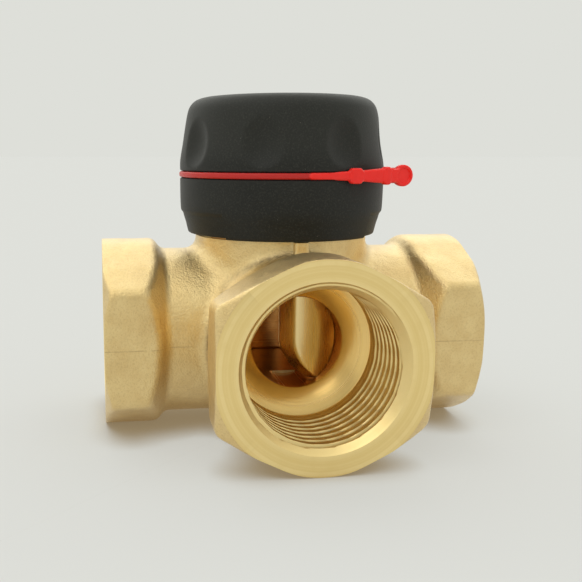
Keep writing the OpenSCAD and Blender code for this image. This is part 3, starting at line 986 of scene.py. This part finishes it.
def cast_brass():
    """Shot-blasted casting: fine grain, mottling, painted shade in the creases and a flash line at mid
    height.
    """
    s = Shader("cast_brass", 0.4, 1.0)
    mottle = s.noise(5.0, 3.0)
    grain = s.noise(0.42, 3.0, 0.6)
    coarse = s.noise(1.3, 2.0)
    tone = s.mix(s.spread(mottle, 0.35, 0.65), (0.79, 0.575, 0.245), (0.87, 0.660, 0.300))
    tone = s.mix(s.spread(grain, 0.36, 0.50, 0.20, 0.0), tone, (0.46, 0.29, 0.10))
    # Painted shade: the creases are darkened, broken up by noise, most of all around the front port.
    crease_shade = s.spread(s.attribute("crease_shade"), 0.24, 0.85)
    crease_shade = s.math("MULTIPLY", crease_shade, s.spread(s.noise(0.9, 4.0, 0.7), 0.38, 0.62, 0.45, 1.0))
    aside, ahead, height = s.position()
    crease_shade = s.math("MULTIPLY", crease_shade, s.spread(ahead, 14 * MM, 18 * MM, 0.15, 1.0))
    tone = s.mix(s.math("MULTIPLY", crease_shade, 0.85), tone, (0.17, 0.090, 0.028))
    wander = s.spread(s.noise(7.0, 2.0), 0.0, 1.0, -0.00012, 0.00012)
    line = s.math("ABSOLUTE", s.math("ADD", height, wander))
    line = s.spread(line, 0.00003, 0.00016, 1.0, 0.0)
    line = s.math("MULTIPLY", line, s.spread(s.noise(3.0, 3.0), 0.36, 0.54))
    line = s.math("MULTIPLY", line, s.math("GREATER_THAN", aside, (HALF_FLATS + 1.5) * MM))
    tone = s.mix(s.math("MULTIPLY", line, 0.4), tone, (0.33, 0.20, 0.08))
    s.colour(tone)
    s.rough(s.spread(coarse, 0.3, 0.7, 0.36, 0.47))
    s.bump((coarse, 0.06), (grain, 0.16), (line, 0.03))
    s.surface.inputs["Coat Weight"].default_value = 1.0
    s.surface.inputs["Coat Roughness"].default_value = 0.42
    return s.material


# Painted shade: the brass in the chamber is made darker and redder than the turned ports.
SHADED_CHAMBER_DARK = (0.60, 0.29, 0.085)
SHADED_CHAMBER_LIGHT = (0.72, 0.39, 0.13)


def machined_brass(name, dark, light, low_rough, high_rough, depth):
    """Turned brass: fine rings round each port's axis, and marks at one height in the chamber."""
    s = Shader(name, low_rough, 1.0)
    aside, ahead, height = s.position()
    along = s.math("MAXIMUM", aside, ahead)
    radial = s.length(s.math("MINIMUM", aside, ahead), height)
    in_port = s.math("GREATER_THAN", along, (CHAMBER_R + 1) * MM)
    in_chamber = s.math("SUBTRACT", 1.0, in_port)
    port_lay = s.math("MULTIPLY", in_port, s.math("SUBTRACT", radial, along))
    lay = s.math("SUBTRACT", port_lay, s.math("MULTIPLY", in_chamber, height))
    rings = s.line_noise(lay, 5500.0, 4.0)
    broad = s.line_noise(lay, 900.0, 2.0)
    stain = s.noise(2.6, 4.0)
    tone = s.mix(s.spread(broad, 0.3, 0.7), dark, light)
    tone = s.mix(s.spread(stain, 0.5, 0.75, 0.0, 0.45), tone, dark)
    # Painted shade: inside the chamber the colour turns to the darker, redder chamber brass.
    tone = s.mix(in_port, s.mix(s.spread(stain, 0.35, 0.65), SHADED_CHAMBER_DARK, SHADED_CHAMBER_LIGHT), tone)
    s.colour(tone)
    s.rough(s.spread(rings, 0.3, 0.7, low_rough, high_rough))
    s.bump((rings, depth), (s.noise(0.5, 2.0), depth * 0.5))
    return s.material


def slide_brass():
    """The slide's turned surface, with faint marks that run up and down it in its roughness and bump, and
    painted reflection streaks in its colour.
    """
    s = Shader("turned_brass", 0.3, 1.0)
    marks_and_reflection_streaks = s.noise(0.7, 4.0, 0.6, (3.0, 3.0, 0.05))
    # Painted reflection: vertical streaks lighten and darken the colour, as highlights on a turned cylinder
    # would.
    s.colour(s.mix(s.spread(marks_and_reflection_streaks, 0.3, 0.7), (0.84, 0.62, 0.28), (0.92, 0.72, 0.36)))
    s.rough(s.spread(marks_and_reflection_streaks, 0.3, 0.7, 0.24, 0.34))
    s.bump((marks_and_reflection_streaks, 0.003))
    return s.material


def soft_black():
    """Soft-touch coating: matt, finely grained, with a few specks of dust, and painted light that makes the
    grip above the groove lighter.
    """
    s = Shader("soft_black", 0.55)
    grain = s.noise(0.35, 3.0, 0.6)
    cloud = s.noise(9.0, 3.0)
    tone = s.mix(s.spread(cloud, 0.3, 0.7), (0.0115, 0.0120, 0.0095), (0.0160, 0.0165, 0.0135))
    height = s.position()[2]
    # Painted light: the grip above the groove is made lighter than the base below it.
    upper = s.spread(height, (GROOVE + 1.5) * MM, (GROOVE + 6.5) * MM, 0.0, 0.7)
    tone = s.mix(upper, tone, (0.0225, 0.0230, 0.0185))
    tone = s.mix(s.spread(grain, 0.48, 0.72, 0.0, 0.5), tone, (0.050, 0.050, 0.042))
    dust = s.math("LESS_THAN", s.cells(1.3), 0.055)
    dust = s.math("MULTIPLY", dust, s.spread(s.noise(3.0, 2.0), 0.52, 0.60))
    s.colour(s.mix(s.math("MULTIPLY", dust, 0.7), tone, (0.16, 0.155, 0.13)))
    s.rough(s.spread(grain, 0.3, 0.7, 0.50, 0.64))
    s.bump((s.noise(1.6, 2.0), 0.012), (grain, 0.03))
    s.surface.inputs["Specular IOR Level"].default_value = 0.28
    s.surface.inputs["Sheen Weight"].default_value = 0.08
    s.surface.inputs["Sheen Roughness"].default_value = 0.4
    return s.material


def plastic(name, dark, light, roughness, depth=0.012, size=0.6):
    """Moulded plastic with a slight cloud in its colour and a fine surface."""
    s = Shader(name, roughness)
    s.colour(s.mix(s.spread(s.noise(6.0, 2.0), 0.3, 0.7), dark, light))
    s.rough(s.spread(s.noise(1.2, 3.0), 0.3, 0.7, roughness - 0.05, roughness + 0.07))
    s.bump((s.noise(size, 2.0), depth))
    return s.material


def red_plastic():
    """Glossy red plastic, with painted shade where it lies in the knob's groove."""
    s = Shader("red_plastic", 0.36)
    aside, ahead = s.position()[:2]
    tone = s.mix(s.spread(s.noise(3.0, 2.0), 0.3, 0.7), (0.96, 0.016, 0.010), (1.0, 0.026, 0.018))
    # Painted shade: the ring inside the groove is given a darker red than the parts that stand clear of it.
    clear = s.spread(s.length(aside, ahead), (KNOB_R + 0.18) * MM, (KNOB_R + 0.32) * MM)
    s.colour(s.mix(clear, (0.56, 0.018, 0.014), tone))
    s.rough(s.spread(s.noise(0.8, 3.0), 0.3, 0.7, 0.30, 0.44))
    s.bump((s.noise(1.0, 2.0), 0.02))
    s.surface.inputs["Specular IOR Level"].default_value = 0.4
    s.surface.inputs["Subsurface Weight"].default_value = 0.2
    s.surface.inputs["Subsurface Radius"].default_value = (0.0012, 0.0004, 0.0003)
    s.surface.inputs["Subsurface Scale"].default_value = 0.6
    return s.material


def plated_steel():
    """Plated steel, brushed."""
    s = Shader("plated_steel", 0.3, 1.0)
    brush = s.noise(0.7, 4.0, 0.6, (1.0, 1.0, 6.0))
    s.colour(s.mix(s.spread(brush, 0.3, 0.7), (0.50, 0.51, 0.52), (0.66, 0.67, 0.68)))
    s.rough(s.spread(brush, 0.3, 0.7, 0.24, 0.38))
    s.bump((brush, 0.01))
    return s.material


CAST = cast_brass()
MACHINED = machined_brass("machined_brass", (0.88, 0.665, 0.275), (0.97, 0.76, 0.355), 0.33, 0.45, 0.010)
BORE = machined_brass("chamber_brass", (0.86, 0.57, 0.19), (0.94, 0.66, 0.26), 0.18, 0.28, 0.004)
TURNED = slide_brass()
SOFT = soft_black()
RED = red_plastic()
STEEL = plated_steel()
COMPOSITE = plastic("black_composite", (0.012, 0.012, 0.012), (0.022, 0.022, 0.022), 0.45, 0.02, 0.5)
CAP_RED = plastic("cap_red", (0.60, 0.012, 0.008), (0.68, 0.020, 0.014), 0.4, 0.012, 0.6)
DIAL = plastic("dial_grey", (0.045, 0.046, 0.047), (0.065, 0.066, 0.068), 0.5, 0.02, 0.4)
MARKS = plastic("dial_white", (0.66, 0.66, 0.64), (0.74, 0.74, 0.72), 0.5, 0.005, 0.5)
RUBBER = plastic("rubber_seal", (0.008, 0.008, 0.008), (0.016, 0.016, 0.016), 0.5, 0.01, 0.4)
PTFE = plastic("white_plastic", (0.78, 0.78, 0.74), (0.84, 0.84, 0.80), 0.42, 0.01, 0.5)


def dress(thing, body_name, slot, materials, *replaced):
    """Gives a piece its materials and its CAD body, and hides the CAD nodes it stands for. The slot is not
    used.
    """
    thing.data.materials.clear()
    for material in materials:
        thing.data.materials.append(material)
    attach(thing, body_name)
    if replaced:
        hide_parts(*replaced)


body = make_valve_body()
dress(body, "valve", "cast_brass", [CAST, MACHINED, BORE], "valve_body")
classify_body(body)
shade(body, 38)
dress(make_slide(), "drive", "turned_brass", [TURNED], "rotor_slide")
dress(make_grip(), "drive", "soft_black", [SOFT], "knob_grip")
dress(make_base(), "valve", "soft_black", [SOFT], "knob_base")
dress(make_pointer(), "pointer", "red_plastic", [RED], "pointer_ring")
dress(make_plate(), "drive", "dial_grey", [DIAL], "scale_plate")
dress(make_marks(), "drive", "dial_grey", [MARKS])
dress(make_cap(), "drive", "red_plastic", [CAP_RED], "centre_cap")

CAD_MATERIALS = {
    "black_composite": COMPOSITE,
    "rubber_seal": RUBBER,
    "white_plastic": PTFE,
    "steel": STEEL,
}
SLOT_OF = {part["node"]: part["material_slot"] for part in RECORD["subparts"]}
for node, thing in frame["nodes"].items():
    material = CAD_MATERIALS.get(SLOT_OF[node])
    if material:
        for place in thing.material_slots:
            place.material = material


# ---- Stage ----


PALE = (0.730, 0.738, 0.694)
FLOOR_WHITE = 0.26
FLOOR_GLOW = 0.613
OVERHEAD = 1.3
BACK_GAIN = 1.0
# Painted contact shadow on the floor, tinted brown as a painted reflection of the brass.
CONTACT_SHADE_AND_REFLECTION = (0.34, 0.26, 0.15)
CONTACT_REACH = 9.0
FRONT_SHADE = 0.62
FLOOR_HALF = 30.0
SUN_STRENGTH = 0.35
SUN_SPREAD = math.radians(50)
SUN_FROM = (-0.5, -0.45, 1.0)


def make_floor():
    """A wide pale sheet under the valve, lit softly from above and from within, with a painted contact
    shadow near the valve, tinted brown as a painted reflection of the brass.
    """
    signs = ((-1, -1), (1, -1), (1, 1), (-1, 1))
    corners = [(a * FLOOR_HALF, b * FLOOR_HALF, 0) for a, b in signs]
    mesh = bpy.data.meshes.new("floor")
    mesh.from_pydata(corners, [], [(0, 1, 2, 3)])
    sheet = bpy.data.objects.new("floor", mesh)
    bpy.context.scene.collection.objects.link(sheet)
    paper = Shader("floor_paper", 0.9)
    paper.surface.inputs["Base Color"].default_value = (FLOOR_WHITE, FLOOR_WHITE, FLOOR_WHITE, 1)
    paper.surface.inputs["Specular IOR Level"].default_value = 0.0
    # Painted shadow: where the valve is near, the floor's glow turns to the brown contact colour.
    contact = paper.nodes.new("ShaderNodeAmbientOcclusion")
    contact.inputs["Distance"].default_value = CONTACT_REACH * MM
    near = paper.spread(contact.outputs["AO"], 0.25, 0.85)
    paper.feed(paper.surface.inputs["Emission Color"], paper.mix(near, CONTACT_SHADE_AND_REFLECTION, PALE))
    paper.surface.inputs["Emission Strength"].default_value = FLOOR_GLOW
    mesh.materials.append(paper.material)


def make_sky():
    """A pale studio all round: even near the horizon, brighter overhead, darker high up in front."""
    world = bpy.data.worlds.new("studio")
    world.use_nodes = True
    nodes = world.node_tree.nodes
    links = world.node_tree.links
    direction = nodes.new("ShaderNodeSeparateXYZ")
    links.new(nodes.new("ShaderNodeTexCoord").outputs["Generated"], direction.inputs[0])

    def eased(value, low, high, to_low, to_high):
        """The value spread over a new range, with soft ends."""
        node = nodes.new("ShaderNodeMapRange")
        node.interpolation_type = "SMOOTHSTEP"
        links.new(value, node.inputs["Value"])
        for name, number in (("From Min", low), ("From Max", high), ("To Min", to_low), ("To Max", to_high)):
            node.inputs[name].default_value = number
        return node.outputs["Result"]

    def combined(operation, first, second):
        """One arithmetic step on a socket and another socket or constant."""
        node = nodes.new("ShaderNodeMath")
        node.operation = operation
        links.new(first, node.inputs[0])
        if isinstance(second, bpy.types.NodeSocket):
            links.new(second, node.inputs[1])
        else:
            node.inputs[1].default_value = second
        return node.outputs[0]

    overhead = eased(direction.outputs["Z"], 0.22, 0.75, 1.0, OVERHEAD)
    front = eased(direction.outputs["Y"], -0.95, -0.35, FRONT_SHADE - 1.0, 0.0)
    above = eased(direction.outputs["Z"], 0.10, 0.30, 0.0, 1.0)
    shade_front = combined("ADD", combined("MULTIPLY", front, above), 1.0)
    sky = nodes["Background"]
    sky.inputs["Color"].default_value = (*PALE, 1)
    behind = eased(direction.outputs["Y"], 0.1, 0.6, 0.0, BACK_GAIN)
    high = eased(direction.outputs["Z"], 0.20, 0.45, 0.0, 1.0)
    from_all = combined("MULTIPLY", overhead, shade_front)
    strength = combined("ADD", from_all, combined("MULTIPLY", behind, high))
    links.new(strength, sky.inputs["Strength"])
    bpy.context.scene.world = world


def make_key_light():
    """A large soft light from the upper left, as wide as a softbox close by."""
    light = bpy.data.lights.new("key_light", "SUN")
    light.energy = SUN_STRENGTH
    light.angle = SUN_SPREAD
    lamp = bpy.data.objects.new("key_light", light)
    lamp.rotation_euler = Vector(SUN_FROM).to_track_quat("Z", "Y").to_euler()
    bpy.context.scene.collection.objects.link(lamp)


CAMERA_TURN = math.radians(-7.743)
CAMERA_RISE = math.radians(9.71)
CAMERA_DISTANCE = 183.54
CAMERA_AIM = (-17.288, -0.52, 8.703)
CAMERA_LENS = 49.02
CAMERA_SHIFT = 0.1456
SENSOR_WIDTH = 36
NEAR_LIMIT = 0.01


def make_camera():
    """Looks from the front, a little from the left and above, with the lens shifted sideways.

    The shift sets the vanishing point beside the valve, as in a picture cropped off-centre.
    """
    back = Vector((
        math.sin(CAMERA_TURN) * math.cos(CAMERA_RISE),
        -math.cos(CAMERA_TURN) * math.cos(CAMERA_RISE),
        math.sin(CAMERA_RISE),
    ))
    aim = Vector(CAMERA_AIM) + Vector((0, 0, AXIS_HEIGHT))
    right = Vector((0, 0, 1)).cross(back).normalized()
    up = back.cross(right)
    lens = bpy.data.cameras.new("camera")
    lens.lens = CAMERA_LENS
    lens.sensor_width = SENSOR_WIDTH
    lens.shift_x = CAMERA_SHIFT
    lens.clip_start = NEAR_LIMIT
    camera = bpy.data.objects.new("camera", lens)
    columns = Matrix((right, up, back)).transposed()
    camera.matrix_world = Matrix.Translation((aim + back * CAMERA_DISTANCE) * MM) @ columns.to_4x4()
    bpy.context.scene.collection.objects.link(camera)
    bpy.context.scene.camera = camera


make_floor()
make_sky()
make_key_light()
make_camera()
bpy.context.scene.view_settings.view_transform = "Standard"
